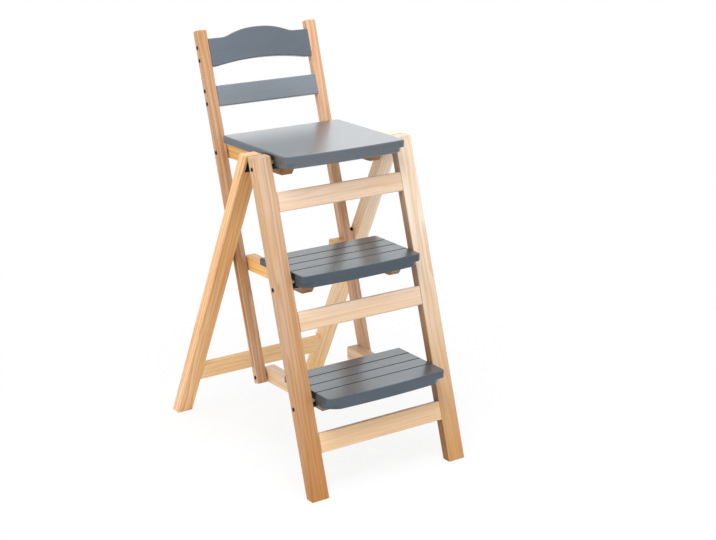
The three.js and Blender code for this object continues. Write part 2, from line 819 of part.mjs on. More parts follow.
// Back frame: slotted posts, backrest, its screws, and the rear pivots of seat and steps
function makeBackFrame() {
  const group = leaningGroup(frontLean, postPivot);
  const half = postInnerX - seatGap;
  addPair(group, 'back_post', postPiece(), pine);
  const [slatMiddle, crestMiddle] = backrestMiddles();
  addPiece(group, 'crest_rail', backrestRail(crestOutline(half), crestMiddle, half), greyPaint);
  addPiece(group, 'lower_slat', backrestRail(slatOutline(half), slatMiddle, half), greyPaint);
  ['slat_screw_low', 'slat_screw_high', 'crest_screw_low', 'crest_screw_high'].forEach((name, index) => {
    addPair(group, name, moved(screwPiece(), 0, screwPlaces()[index]), blackSteel);
  });
  const bolts = [throughBolt(postOuterX), blindBolt(), throughBolt(postOuterX)];
  ['step_1', 'step_2', 'seat'].forEach((name, level) => {
    addPair(group, `${name}_rear_bolt`, moved(bolts[level], 0, pivotsUpPosts[level]), blackSteel);
    addPair(group, `${name}_washer`, moved(washer(), 0, pivotsUpPosts[level]), blackSteel);
  });
  group.add(makeGuidePins());
  return group;
}

function washer() {
  return ring(boltRadius + seatGap, washerRadius, railOuterX + seatGap, postInnerX - seatGap, 0, 0);
}

// Guide pins: a shank in the slot and a collar between the post and the rear leg
function makeGuidePins() {
  const group = new THREE.Group();
  group.position.z = slotTopAt;
  const pin = turned([
    [0, slotFloorX + runningGap],
    [guidePinRadius, slotFloorX + runningGap],
    [guidePinRadius, postOuterX + runningGap],
    [guideCollarRadius, postOuterX + runningGap],
    [guideCollarRadius, rearLegInnerX - seatGap],
    [0, rearLegInnerX - seatGap],
  ], 0, 0);
  addPair(group, 'guide_pin', pin, blackSteel);
  return group;
}

// The whole chair, open, centred over the floor
function makeChair() {
  const chair = new THREE.Group();
  const [lowPivot, upperPivot, seatPivot] = frontPivots;
  const seatDepth = seatOverhang + linkReach - seatSetIn;
  chair.add(
    makeFrontFrame(),
    makeRearFrame(),
    makeBackFrame(),
    makeBoardGroup('seat', seatPivot, -seatOverhang, seatDepth, []),
    makeBoardGroup('step_2', upperPivot, -upperOverhang, stepDepth, stepGrooves(-upperOverhang)),
    makeBoardGroup('step_1', lowPivot, -lowerOverhang, stepDepth, stepGrooves(-lowerOverhang)),
  );
  chair.updateMatrixWorld(true);
  const size = new THREE.Box3().setFromObject(chair, true);
  chair.position.y = -(size.min.y + size.max.y) / 2;
  return chair;
}

export default makeChair();
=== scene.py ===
# %% [markdown]
# # A folding pine chair with two ladder steps
#
# The chair is pine with a grey seat, two grey steps and a grey backrest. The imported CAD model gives
# every solid its place, and this lesson dresses it: first the frame is loaded, then the finishes are
# mixed, then each piece gets its surface, and last come the floor, the lamps and the camera.

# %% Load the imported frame
import json
import math

import bmesh
import bpy
import numpy as np
from mathutils import Euler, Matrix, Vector


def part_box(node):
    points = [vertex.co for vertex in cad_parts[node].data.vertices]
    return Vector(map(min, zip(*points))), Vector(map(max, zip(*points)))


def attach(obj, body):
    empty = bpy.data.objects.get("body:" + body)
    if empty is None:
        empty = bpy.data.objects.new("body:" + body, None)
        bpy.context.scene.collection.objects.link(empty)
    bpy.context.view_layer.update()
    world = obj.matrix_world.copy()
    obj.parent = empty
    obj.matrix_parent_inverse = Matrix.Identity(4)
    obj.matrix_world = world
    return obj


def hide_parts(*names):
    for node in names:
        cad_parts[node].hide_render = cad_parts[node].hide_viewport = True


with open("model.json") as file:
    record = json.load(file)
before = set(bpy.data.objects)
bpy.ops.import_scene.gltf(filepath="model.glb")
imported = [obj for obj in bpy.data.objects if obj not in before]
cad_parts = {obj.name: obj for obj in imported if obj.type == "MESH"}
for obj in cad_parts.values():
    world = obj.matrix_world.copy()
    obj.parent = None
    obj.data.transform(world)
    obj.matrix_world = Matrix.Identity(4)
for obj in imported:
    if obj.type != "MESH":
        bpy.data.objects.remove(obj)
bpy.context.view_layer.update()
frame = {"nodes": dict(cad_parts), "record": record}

MM = 0.001
home = {node: body for body, nodes in frame["record"]["behaviour"]["bodies"].items() for node in nodes}
print("solids:", len(frame["nodes"]), "bodies:", sorted(set(home.values())))

# %% [markdown]
# ## Measures
#
# The chair folds on parallel links, so its places follow from a few numbers: the lean of the front
# legs and the posts, the lean of the rear legs, and the front pivots of the seat and the steps. They
# are the CAD model's own numbers, in millimetres, so every new surface lands on the solid it dresses.

# %% Measures of the chair, in millimetres
FRONT_FOOT, FOOT_SPREAD = -292.9615, 582.6625
REAR_FOOT = FRONT_FOOT + FOOT_SPREAD
FRONT_LEAN, REAR_LEAN = math.radians(17.2), math.radians(-26.6)
PIVOT_HEIGHTS = {"seat": 660.0, "step_2": 422.25, "step_1": 184.5}
LINK_REACH, LINK_DROP = 231.0, 15.0
PIVOTS = {
    name: (FRONT_FOOT + height * math.tan(FRONT_LEAN), height) for name, height in PIVOT_HEIGHTS.items()
}
POST_FOOT = (PIVOTS["step_1"][0] + LINK_REACH, PIVOTS["step_1"][1] - LINK_DROP)
BACKREST_BASE = (PIVOT_HEIGHTS["seat"] - PIVOT_HEIGHTS["step_1"]) / math.cos(FRONT_LEAN)
print("pivots:", {name: tuple(round(v, 1) for v in at) for name, at in PIVOTS.items()})


def stand(points, lean, foot):
    """Lean points that were drawn upright, as (across, out of the rear face, up the member).

    y = foot + rear * cos(lean) + up * sin(lean), and z = foot + up * cos(lean) - rear * sin(lean).
    """
    across, rear, along = np.moveaxis(np.asarray(points, float), -1, 0)
    y = foot[0] + rear * math.cos(lean) + along * math.sin(lean)
    z = foot[1] + along * math.cos(lean) - rear * math.sin(lean)
    return np.stack([across, y, z], axis=-1)


# %% [markdown]
# ## Node shorthand
#
# A finish is a small network of shader nodes. One helper makes a node, sets its options and feeds its
# sockets, with either a plain value or another node's output, so that each finish below reads like a
# recipe. Patterns use Object coordinates: every piece keeps its origin at the world's, so a pattern
# rides with the piece and doesn't stretch with its box.

# %% Make a node and feed it
def add_node(tree, kind, feeds=None, **options):
    """Make a node of a kind, set its options, and feed its sockets with values or outputs."""
    made = tree.nodes.new("ShaderNode" + kind)
    for option, value in options.items():
        setattr(made, option, value)
    for socket, value in (feeds or {}).items():
        if isinstance(value, bpy.types.NodeSocket):
            tree.links.new(value, made.inputs[socket])
        else:
            made.inputs[socket].default_value = value
    return made


def blend_colours(tree, share, first, second, mode="MIX"):
    """Mix two colours by a share, and give the result's socket."""
    mixed = add_node(tree, "Mix", {0: share, 6: first, 7: second}, data_type="RGBA", blend_type=mode)
    return mixed.outputs[2]


def ramp(tree, value, stops):
    """A colour ramp with grey stops, given as (place, level) pairs."""
    made = add_node(tree, "ValToRGB", {0: value})
    stripes = made.color_ramp.elements
    while len(stripes) < len(stops):
        stripes.new(0.5)
    for stripe, (place, level) in zip(stripes, stops):
        stripe.position = place
        stripe.color = (level, level, level, 1)
    return made.outputs[0]


def work_out(tree, operation, *numbers):
    """One step of arithmetic on plain numbers or sockets."""
    return add_node(tree, "Math", dict(enumerate(numbers)), operation=operation).outputs[0]


def sum_up(tree, first, second, times=1.0):
    """first * times + second, for plain numbers."""
    return work_out(tree, "MULTIPLY_ADD", first, times, second)


# %% Noise, fades, and the frame of a finish
def stretched_noise(tree, coords, cells, detail, output="Fac"):
    """Noise with so many cells to the metre along each axis."""
    way = add_node(tree, "Mapping", {0: coords, 3: cells}).outputs[0]
    return add_node(tree, "TexNoise", {"Vector": way, "Scale": 1.0, "Detail": detail}).outputs[output]


def even_noise(tree, coords, scale, detail):
    """Noise with the same number of cells to the metre along every axis."""
    feeds = {"Vector": coords, "Scale": scale, "Detail": detail}
    return add_node(tree, "TexNoise", feeds).outputs["Fac"]


def fade(tree, value, start, end, first=1.0, last=0.0):
    """A share that goes from first to last while a value goes from start to end."""
    return add_node(tree, "MapRange", {0: value, 1: start, 2: end, 3: first, 4: last}).outputs[0]


def new_finish(name):
    """A new material with its node tree, its shader and the Object coordinates."""
    finish = bpy.data.materials.new(name)
    finish.use_nodes = True
    tree = finish.node_tree
    return finish, tree, tree.nodes["Principled BSDF"], add_node(tree, "TexCoord").outputs["Object"]


def add_bump(tree, shader, strength, depth, height):
    """Relief from a height pattern, depth metres deep at full strength."""
    bump = add_node(tree, "Bump", {"Strength": strength, "Distance": depth, "Height": height})
    tree.links.new(bump.outputs[0], shader.inputs["Normal"])


# %% [markdown]
# ## Pine
#
# Sawn pine shows its growth rings as lines along the board, wavy where the cut runs nearly along a
# ring, with rings again on the sawn end. A photograph could be wrapped round a stick, but then the
# end wouldn't match the sides. Here the rings are real cylinders in space: the distance from a pith
# axis that runs beside the stick, bent a little by noise, is cut into rings whose colour darkens
# slowly and then jumps back, as early and late wood do. Long thin noise adds fibres and dark streaks,
# and a broad one the drift from pale sapwood to warmer wood.

# %% Measures of the grain, in metres and in cells to the metre
PITH_ASIDE = np.array([46.0, 71.0]) * MM
PITH_SHIFT = 4.0
RINGS_PER_METRE = 150.0
RING_DRIFT = 5.0
SWAY_REACH = 0.011
SWAY_CELLS, DRIFT_CELLS = (14, 14, 2.1), (26, 26, 2.6)
FIBRE_CELLS, STREAK_CELLS = (620, 620, 9), (105, 105, 1.4)
RING_STOPS = [(0.0, 0.0), (0.4, 0.08), (0.8, 0.8), (0.9, 1.0), (1.0, 0.0)]
DRIFT_STOPS = [(0.36, 0.0), (0.66, 1.0)]
STREAK_STOPS = [(0.5, 0.0), (0.7, 0.55)]
FIBRE_STOPS = [(0.3, 0.78), (0.52, 1.0)]
FOOT_FADE = (0.02, 0.58)
# x over which painted shade darkens a right leg's face towards the left leg, which gets less light
INNER_SHADE_FADE = (0.1564, 0.1575)
# painted shade on the rails' front ends, which lie in the shadow under the boards
NOSE_SHADE_FADE = 0.012
NOSE_SHADE = (0.36, 0.31, 0.30, 1)
RING_DEPTH, FIBRE_DEPTH = 0.6, 0.5
WOOD_ROUGHNESS, FIBRE_ROUGHNESS = 0.28, 0.3
WOOD_RELIEF, RING_RELIEF = (0.25, 0.0003), 0.5
UNTONED = (1, 1, 1)
FAR_OFF = 9.0


# %% Mix the wood of one stick
def grain_space(tree, coords, turn, centre, seed):
    """Coordinates with z along the stick and the pith at x = y = 0, beside the stick."""
    draw = np.random.default_rng(seed)
    aside = Vector((*(PITH_ASIDE * draw.choice([-1, 1], 2)), draw.uniform(-PITH_SHIFT, PITH_SHIFT)))
    shift = aside - Euler(turn).to_matrix() @ (Vector(centre) * MM)
    return add_node(tree, "Mapping", {0: coords, 1: shift, 2: turn}).outputs[0]


def bend(tree, grain):
    """The grain's coordinates, swayed a little by slow noise."""
    sway = stretched_noise(tree, grain, SWAY_CELLS, 2.0, "Color")
    feeds = {0: sway, 1: (SWAY_REACH,) * 3, 2: grain}
    return add_node(tree, "VectorMath", feeds, operation="MULTIPLY_ADD").outputs[0]


def late_wood_share(tree, swayed, drift):
    """How late the wood is: the fraction of (distance to the pith * rings + drift), by RING_STOPS."""
    flat = add_node(tree, "VectorMath", {0: swayed, 1: (1, 1, 0)}, operation="MULTIPLY").outputs[0]
    distance = add_node(tree, "VectorMath", {0: flat}, operation="LENGTH").outputs["Value"]
    rings = sum_up(tree, distance, work_out(tree, "MULTIPLY", drift, RING_DRIFT), RINGS_PER_METRE)
    return ramp(tree, work_out(tree, "FRACT", rings), RING_STOPS)


def tone_and_shade_by_place(tree, coords, colour, foot, inner, nose):
    """The wood's colour toned towards the floor, with painted shade on a right leg's left face and rail
    fronts.
    """
    x, y, z = add_node(tree, "SeparateXYZ", {0: coords}).outputs
    colour = blend_colours(tree, fade(tree, z, *FOOT_FADE), colour, (*foot, 1), "MULTIPLY")
    colour = blend_colours(tree, fade(tree, x, *INNER_SHADE_FADE), colour, (*inner, 1), "MULTIPLY")
    return blend_colours(tree, fade(tree, y, nose - NOSE_SHADE_FADE, nose), colour, NOSE_SHADE, "MULTIPLY")


def pine(name, turn, centre, seed, wood):
    """Clear-varnished pine whose grain runs along the stick that turn brings upright.

    wood has the colours pale, late and warm. Its foot tones the stick down towards the ground. A right
    leg's left face gets painted shade, as it gets less light, and so does a rail's front end in the
    shadow under its board, in front of the y, in metres, that the wood gives for it.
    """
    finish, tree, shader, coords = new_finish(name)
    grain = grain_space(tree, coords, turn, centre, seed)
    swayed = bend(tree, grain)
    drift = stretched_noise(tree, grain, DRIFT_CELLS, 3.0)
    late_wood = late_wood_share(tree, swayed, drift)
    fibre = stretched_noise(tree, swayed, FIBRE_CELLS, 3.0)
    streak = stretched_noise(tree, swayed, STREAK_CELLS, 3.0)

    pale, late, warm = ((*wood[part], 1) for part in ("pale", "late", "warm"))
    colour = blend_colours(tree, ramp(tree, drift, DRIFT_STOPS), pale, warm)
    depth = work_out(tree, "MULTIPLY", late_wood, wood.get("ring_depth", RING_DEPTH))
    colour = blend_colours(tree, depth, colour, late)
    colour = blend_colours(tree, ramp(tree, streak, STREAK_STOPS), colour, late)
    colour = blend_colours(tree, FIBRE_DEPTH, colour, ramp(tree, fibre, FIBRE_STOPS), "MULTIPLY")
    places = wood.get("foot", UNTONED), wood.get("inner", UNTONED), wood.get("nose", -FAR_OFF)
    tree.links.new(tone_and_shade_by_place(tree, coords, colour, *places), shader.inputs["Base Color"])
    roughness = sum_up(tree, fibre, WOOD_ROUGHNESS, FIBRE_ROUGHNESS)
    tree.links.new(roughness, shader.inputs["Roughness"])
    add_bump(tree, shader, *WOOD_RELIEF, sum_up(tree, late_wood, fibre, RING_RELIEF))
    return finish


# %% [markdown]
# ## Slate grey paint and black steel
#
# The grey parts carry a semi-gloss paint that was brushed along the wood: smooth enough to mirror the
# white room softly, with faint strokes and a slow change of shade. A coat over the base colour gives
# the gloss, and its roughness says how hazy the mirror image is. The bolts, screws and hinges are
# black steel with a satin skin. Both need only a little noise, in colour, roughness and bump.

# %% Measures of the paint, in metres and in cells to the metre
STROKE_CELLS, CLOUD_CELLS = (7, 420, 420), (5, 14, 14)
CLOUD_STOPS, STROKE_STOPS = [(0.35, 0.0), (0.65, 1.0)], [(0.35, 0.8), (0.6, 1.0)]
PEEL_SCALE = 900.0
CLOUD_SHADE = 0.86
# painted shade: where a board's end stands in the narrow gap beside a front leg, its paint is nearly black
SHADED_BOARD_END = (0.1496, 0.1502)
GAP_SHADE_REACH = (0.009, 0.011)
GAP_SHADE_BLACK = (0.004, 0.004, 0.005, 1)
COOL_GLINT = (0.78, 0.90, 1.0, 1.0)
STROKE_DEPTH = 0.25
PAINT_ROUGHNESS, STROKE_ROUGHNESS = 0.3, 0.2
PAINT_RELIEF, PEEL_RELIEF = (0.12, 0.0003), 0.25


# %% Mix the paint
def gap_shade_share(tree, coords, leg):
    """Share of painted shade: 1 on a board's end in the dark gap beside a front leg, and 0 elsewhere."""
    x, y, _ = add_node(tree, "SeparateXYZ", {0: coords}).outputs
    at_end = fade(tree, work_out(tree, "ABSOLUTE", x), *SHADED_BOARD_END, 0.0, 1.0)
    gap = work_out(tree, "ABSOLUTE", work_out(tree, "SUBTRACT", y, leg))
    return work_out(tree, "MULTIPLY", at_end, fade(tree, gap, *GAP_SHADE_REACH))


def brushed_paint(name, shade, turn=(0.0, 0.0, 0.0), gloss=1.45, haze=0.26, leg=FAR_OFF):
    """Semi-gloss paint on wood, brushed across the chair, with the wood's grain faint below it.

    gloss is the coat's index of refraction and haze its roughness. leg is the y, in metres, of the
    front legs beside a board, where its ends get painted shade, nearly black, for the dark gap there.
    """
    finish, tree, shader, coords = new_finish(name)
    turned = add_node(tree, "Mapping", {0: coords, 2: turn}).outputs[0]
    stroke = stretched_noise(tree, turned, STROKE_CELLS, 3.0)
    cloud = stretched_noise(tree, turned, CLOUD_CELLS, 2.0)
    peel = even_noise(tree, coords, PEEL_SCALE, 1.0)
    darker = [CLOUD_SHADE * channel for channel in shade]
    colour = blend_colours(tree, ramp(tree, cloud, CLOUD_STOPS), (*shade, 1), (*darker, 1))
    colour = blend_colours(tree, STROKE_DEPTH, colour, ramp(tree, stroke, STROKE_STOPS), "MULTIPLY")
    # painted shade, nearly black, on the board's ends in the gap beside the front legs
    colour = blend_colours(tree, gap_shade_share(tree, coords, leg), colour, GAP_SHADE_BLACK)
    tree.links.new(colour, shader.inputs["Base Color"])
    roughness = sum_up(tree, stroke, PAINT_ROUGHNESS, STROKE_ROUGHNESS)
    tree.links.new(roughness, shader.inputs["Roughness"])
    shader.inputs["Coat Weight"].default_value = 1.0
    shader.inputs["Coat Roughness"].default_value = haze
    shader.inputs["Coat IOR"].default_value = gloss
    shader.inputs["Specular Tint"].default_value = COOL_GLINT
    add_bump(tree, shader, *PAINT_RELIEF, sum_up(tree, peel, stroke, PEEL_RELIEF))
    return finish


ALONG_FRONT = (FRONT_LEAN, 0.0, 0.0)
# The seat, steps, crest and slat carry one paint. Their greys, glosses and hazes differ as painted light
# and shade: the slat is lighter from light thrown up by the seat, the crest darker, and the steps duller
# in the seat's shade.
SEAT_GREY, STEP_GREY = (0.034, 0.052, 0.073), (0.050, 0.069, 0.087)
CREST_GREY_SHADED, SLAT_GREY_LIT = (0.100, 0.122, 0.150), (0.195, 0.225, 0.258)
PAINTS = {
    "seat": brushed_paint(
        "slate grey paint, seat", SEAT_GREY, gloss=1.92, haze=0.3, leg=PIVOTS["seat"][0] * MM
    ),
    "step_2": brushed_paint(
        "slate grey paint, step 2", STEP_GREY, gloss=1.18, haze=0.2, leg=PIVOTS["step_2"][0] * MM
    ),
    "step_1": brushed_paint(
        "slate grey paint, step 1", STEP_GREY, gloss=1.27, haze=0.2, leg=PIVOTS["step_1"][0] * MM
    ),
    "crest": brushed_paint("slate grey paint, crest rail", CREST_GREY_SHADED, ALONG_FRONT),
    "slat": brushed_paint("slate grey paint, slat", SLAT_GREY_LIT, ALONG_FRONT),
}
print("paints:", *[finish.name for finish in PAINTS.values()], sep="\n  ")

# %% Mix the steel
MOTTLE_SCALE = 700.0
MOTTLE_STOPS = [(0.4, 0.0), (0.75, 1.0)]
MOTTLE_SHADE = 2.2
STEEL_ROUGHNESS, MOTTLE_ROUGHNESS = 0.3, 0.35
METALLIC, GLINT = 0.3, 0.3
STEEL_RELIEF = (0.1, 0.0001)
BLACK = (0.006, 0.006, 0.007)


def satin_steel(name, shade):
    """Black-finished steel, satin, a little uneven."""
    finish, tree, shader, coords = new_finish(name)
    mottle = even_noise(tree, coords, MOTTLE_SCALE, 2.0)
    lighter = [MOTTLE_SHADE * channel for channel in shade]
    shaded = blend_colours(tree, ramp(tree, mottle, MOTTLE_STOPS), (*shade, 1), (*lighter, 1))
    tree.links.new(shaded, shader.inputs["Base Color"])
    roughness = sum_up(tree, mottle, STEEL_ROUGHNESS, MOTTLE_ROUGHNESS)
    tree.links.new(roughness, shader.inputs["Roughness"])
    shader.inputs["Metallic"].default_value = METALLIC
    shader.inputs["Specular IOR Level"].default_value = GLINT
    add_bump(tree, shader, *STEEL_RELIEF, mottle)
    return finish


STEEL = satin_steel("satin black steel", BLACK)
print("metal:", STEEL.name)

# %% [markdown]
# ## From arrays to pieces
#
# Most new surfaces here are stacks of rings: a closed outline, drawn as an array, that changes as it
# travels. NumPy works out all corners at once, the faces follow from the grid's row and column
# numbers, and one helper turns them into a named piece that rides on its body of the frame. The
# normals are recalculated there, because a ring drawn the other way round would face inwards.

# %% Faces of a stack of rings, and a piece from points and faces
def ring_faces(rows, around, closed=False):
    """Quads between neighbouring rings, and a face over each end unless the stack closes on itself."""
    last = rows if closed else rows - 1
    row, col = np.meshgrid(np.arange(last), np.arange(around), indexing="ij")
    here, there = row * around, ((row + 1) % rows) * around
    beside = (col + 1) % around
    quads = np.stack([here + col, here + beside, there + beside, there + col], axis=-1).reshape(-1, 4)
    ends = [] if closed else [list(range(around)), list(range((rows - 1) * around, rows * around))]
    return quads.tolist() + ends


# merging distances in metres, creases in degrees
MERGE_DISTANCE, CAD_MERGE_DISTANCE = 1e-7, 1e-6
SCREW_CREASE, BOARD_CREASE, BACKREST_CREASE, TURNED_CREASE, CUT_CREASE = 38.0, 30.0, 50.0, 35.0, 30.0


def make_piece(name, points, faces, body, finish, crease):
    """A piece in millimetre points, cleaned, facing outwards and smooth but for its creases."""
    mesh = bpy.data.meshes.new(name)
    mesh.from_pydata((np.asarray(points).reshape(-1, 3) * MM).tolist(), [], faces)
    return finish_piece(name, mesh, body, finish, crease)


def finish_piece(name, mesh, body, finish, crease):
    """Merge doubles, turn the faces outwards, smooth them, and let the piece ride on its body."""
    work = bmesh.new()
    work.from_mesh(mesh)
    bmesh.ops.remove_doubles(work, verts=work.verts, dist=MERGE_DISTANCE)
    bmesh.ops.recalc_face_normals(work, faces=work.faces)
    work.to_mesh(mesh)
    work.free()
    mesh.polygons.foreach_set("use_smooth", np.ones(len(mesh.polygons), dtype=bool))
    mesh.set_sharp_from_angle(angle=math.radians(crease))
    mesh.materials.clear()
    mesh.materials.append(finish)
    piece = bpy.data.objects.new(name, mesh)
    bpy.context.scene.collection.objects.link(piece)
    flat = piece.modifiers.new("flat faces stay flat", "WEIGHTED_NORMAL")
    flat.keep_sharp = True
    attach(piece, body)
    return piece


# %% [markdown]
# ## Seat and steps
#
# Each board is a 16 mm slab with a nosing glued under its front edge, painted grey. The front edge
# bows gently forwards. The slab's corners are hardly rounded, but the nosing's are, so at each corner
# the slab stands over it like a small shelf. The steps have three grooves for grip. A box with a
# bevel would lose all that. Instead the side view of the board is drawn once, as a closed line, and
# carried across the chair, and each of its points is pushed in near the ends by the corner that it
# belongs to.

# %% Measures of the boards, in millimetres
BOARD_HALF = 151.0
BOARD_TOP = 28.5
SLAB_UNDER = BOARD_TOP - 16.0
NOSING_UNDER = BOARD_TOP - 26.0
NOSING_BACK = -5.4
NOSING_SHORT = 0.5
NOSING_SET_BACK = 0.4
LET_IN = 1.0
LIP_DEPTH = 3.0
BOW = 6.0
TOP_ROUND, FRONT_UNDER_ROUND, REAR_UNDER_ROUND = 3.5, 1.2, 1.5
NOSING_FRONT_ROUND, NOSING_BACK_ROUND = 2.5, 1.0
SLAB_CORNER, REAR_CORNER, SEAT_REAR_CORNER = 11.0, 3.0, 8.0
CIRCLE, FULLER_THAN_CUT = 2.0, 1.6
GROOVE_LIP = [(6.0, 0.0), (1.8, 0.0), (1.5, -0.25), (1.4, -0.8), (1.2, -3.6), (0.8, -4.0)]
FRONT_STRIP, GROOVE_PITCH, GROOVE_COUNT = 56.5, 40.0, 3


# %% Rounding by distance from an end
def round_in(x, half, radius, power=CIRCLE):
    """How far a corner has turned in at x: r - r * (1 - t^p)^(1/p), with t from 0 at its start to 1.

    A power of 2 gives a quarter circle, and 1 a corner that is cut off straight.
    """
    t = np.clip((np.abs(x) - (half - radius)) / radius, 0.0, 1.0)
    return radius - radius * (1 - t**power) ** (1 / power)


def quarter(centre_y, centre_z, radius, start, steps=5):
    """Points of a quarter circle, from a start angle in quarter turns."""
    angle = (start + np.linspace(0.0, 1.0, steps)) * math.pi / 2
    return np.stack([centre_y + radius * np.cos(angle), centre_z + radius * np.sin(angle)], axis=-1)


# %% Draw the side views of a slab and of a nosing
def pulled(points, front=0.0, rear=0.0, top=0.0, under=0.0):
    """Side view points (y, z) with the shares by which the four roundings at an end move them."""
    points = np.atleast_2d(points)
    return np.hstack([points, np.tile([front, rear, top, under], (len(points), 1))])


def slab_outline(front, back, grooves):
    """Side view of a slab, from its back edge over the top to the front and back below."""
    rows = [pulled(quarter(back - TOP_ROUND, BOARD_TOP - TOP_ROUND, TOP_ROUND, 0), rear=1, top=1)]
    for middle in sorted(grooves, reverse=True):
        right = [(middle + y, BOARD_TOP + z) for y, z in GROOVE_LIP]
        left = [(middle - y, BOARD_TOP + z) for y, z in reversed(GROOVE_LIP)]
        rows.append(pulled(right + left, top=1))
    rows.append(pulled(quarter(front + TOP_ROUND, BOARD_TOP - TOP_ROUND, TOP_ROUND, 1), front=1, top=1))
    below_front = quarter(front + FRONT_UNDER_ROUND, SLAB_UNDER + FRONT_UNDER_ROUND, FRONT_UNDER_ROUND, 2)
    below_rear = quarter(back - REAR_UNDER_ROUND, SLAB_UNDER + REAR_UNDER_ROUND, REAR_UNDER_ROUND, 3)
    rows += [pulled(below_front, front=1, under=1), pulled(below_rear, rear=1, under=1)]
    return np.vstack(rows)


def nosing_outline(front):
    """Side view of a nosing, set back a hair from the slab's front and let into it a little."""
    face = front + NOSING_SET_BACK
    curve = quarter(face + NOSING_FRONT_ROUND, NOSING_UNDER + NOSING_FRONT_ROUND, NOSING_FRONT_ROUND, 2)
    heel = quarter(NOSING_BACK - NOSING_BACK_ROUND, NOSING_UNDER + NOSING_BACK_ROUND, NOSING_BACK_ROUND, 3)
    return np.vstack([
        pulled([(NOSING_BACK, SLAB_UNDER + LET_IN)]),
        pulled([(face, SLAB_UNDER + LET_IN), (face, SLAB_UNDER - LIP_DEPTH)], front=1),
        pulled(curve, front=1, under=1),
        pulled(heel, under=1),
    ])


# %% Carry a side view across the chair
MIDDLE_STATIONS, END_STATIONS, LAST_STEP = 9, 13, 6.0


def carry_across(outline, half, corner, power, rear_corner=REAR_CORNER):
    """Rings of a side view at stations across the board, closer together near the ends.

    y gains bow * (x / half)^2, growing towards the front, and each corner's round_in.
    """
    turn = np.sin(np.linspace(0.0, 1.0, END_STATIONS) * math.pi / 2)
    ends = [half - radius + radius * turn for radius in (corner, rear_corner, TOP_ROUND)]
    middle = np.linspace(0.0, half - corner, MIDDLE_STATIONS)
    right = np.unique(np.round(np.concatenate([middle, [half - LAST_STEP], *ends]), 3))
    x = np.concatenate([-right[:0:-1], right])[:, None]
    y, z, front, rear, top, under = outline.T
    forwards = np.clip((y - NOSING_BACK) / (y.min() - NOSING_BACK), 0.0, 1.0)
    y = y + BOW * (x / BOARD_HALF) ** 2 * forwards
    y = y + front * round_in(x, half, corner, power) - rear * round_in(x, half, rear_corner)
    z = z - top * round_in(x, half, TOP_ROUND) + under * round_in(x, half, REAR_UNDER_ROUND)
    return np.stack([np.broadcast_to(x, y.shape), y, z], axis=-1)


# %% Make the seat and the two steps
def make_board(name, front, back, grooves, nosing_corner, rear_corner=REAR_CORNER):
    """A slab and its nosing in one piece, moved from the pivot's frame to the pivot."""
    slab = carry_across(slab_outline(front, back, grooves), BOARD_HALF, SLAB_CORNER, CIRCLE, rear_corner)
    nosing = carry_across(nosing_outline(front), BOARD_HALF - NOSING_SHORT, nosing_corner, FULLER_THAN_CUT)
    points = np.concatenate([shell.reshape(-1, 3) for shell in (slab, nosing)])
    points += np.array([0.0, *PIVOTS[name]])
    below = ring_faces(*nosing.shape[:2])
    shift = slab.shape[0] * slab.shape[1]
    faces = ring_faces(*slab.shape[:2]) + [[corner + shift for corner in face] for face in below]
    board = make_piece(f"{name}_top", points, faces, name, PAINTS[name], BOARD_CREASE)
    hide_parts(f"{name}_board")
    print(f"{name}: slab {slab.shape[:2]}, nosing {nosing.shape[:2]}, {back - front:.1f} mm deep")


def groove_places(front):
    """Middles of the three grooves, the first one behind the front strip."""
    return [front + FRONT_STRIP + GROOVE_PITCH * index for index in range(GROOVE_COUNT)]


# front and back edge as seen from the pivot, and the radius of the nosing's corners
SEAT_SPAN, STEP_2_SPAN, STEP_1_SPAN = (-58.3, 205.8), (-45.0, 131.5), (-63.5, 113.0)
SEAT_NOSING, STEP_2_NOSING, STEP_1_NOSING = 24.0, 25.0, 32.0
make_board("seat", *SEAT_SPAN, [], SEAT_NOSING, SEAT_REAR_CORNER)
make_board("step_2", *STEP_2_SPAN, groove_places(STEP_2_SPAN[0]), STEP_2_NOSING)
make_board("step_1", *STEP_1_SPAN, groove_places(STEP_1_SPAN[0]), STEP_1_NOSING)

# %% [markdown]
# ## Crest rail and lower slat
#
# The crest rail of the backrest has flat shoulders, a hump that swells from them in an S, and an arch
# below. Both rails are 17 mm thick with softened edges. Seen from the end a rail is a rounded
# rectangle, and only its upper and lower edge move along its length, so a grid of length by outline
# fits it: one parameter runs across the chair and the other round the section.

# %% Measures of the backrest, in millimetres
BACKREST_HALF = 127.7
RAIL_THICKNESS, RAIL_EDGE = 17.0, 3.2
POST_DEPTH, RAIL_SET_BACK = 18.5, 0.5
CREST_LOW, CREST_SHOULDER = 184.9, 61.8
HUMP_HANDLES = np.array([[0.74, 0.0], [0.55, 0.0], [0.47, 17.0], [0.0, 17.0]])
ARCH_RISE, ARCH_SHARE = 10.3, 0.9
SLAT_LOW, SLAT_HEIGHT = 98.2, 45.5
STATIONS, CORNER_STEPS, CURVE_STEPS = 97, 6, 60


# %% Carry a rounded section along a rail whose edges rise and fall
def rail_points(across, lower, upper, thickness, radius):
    """Rings of a rounded rectangle whose lower and upper edges follow two arrays of heights."""
    corners = [(1, 1, 0), (-1, 1, 1), (-1, -1, 2), (1, -1, 3)]
    ring = []
    for side, level, start in corners:
        arc = quarter(side * (thickness / 2 - radius), -level * radius, radius, start, CORNER_STEPS)
        ring.append(np.column_stack([arc, np.full(len(arc), level)]))
    y, z, level = np.vstack(ring).T
    height = np.where(level > 0, upper[:, None], lower[:, None]) + z
    x = np.broadcast_to(across[:, None], height.shape)
    return np.stack([x, np.broadcast_to(y, height.shape), height], axis=-1)


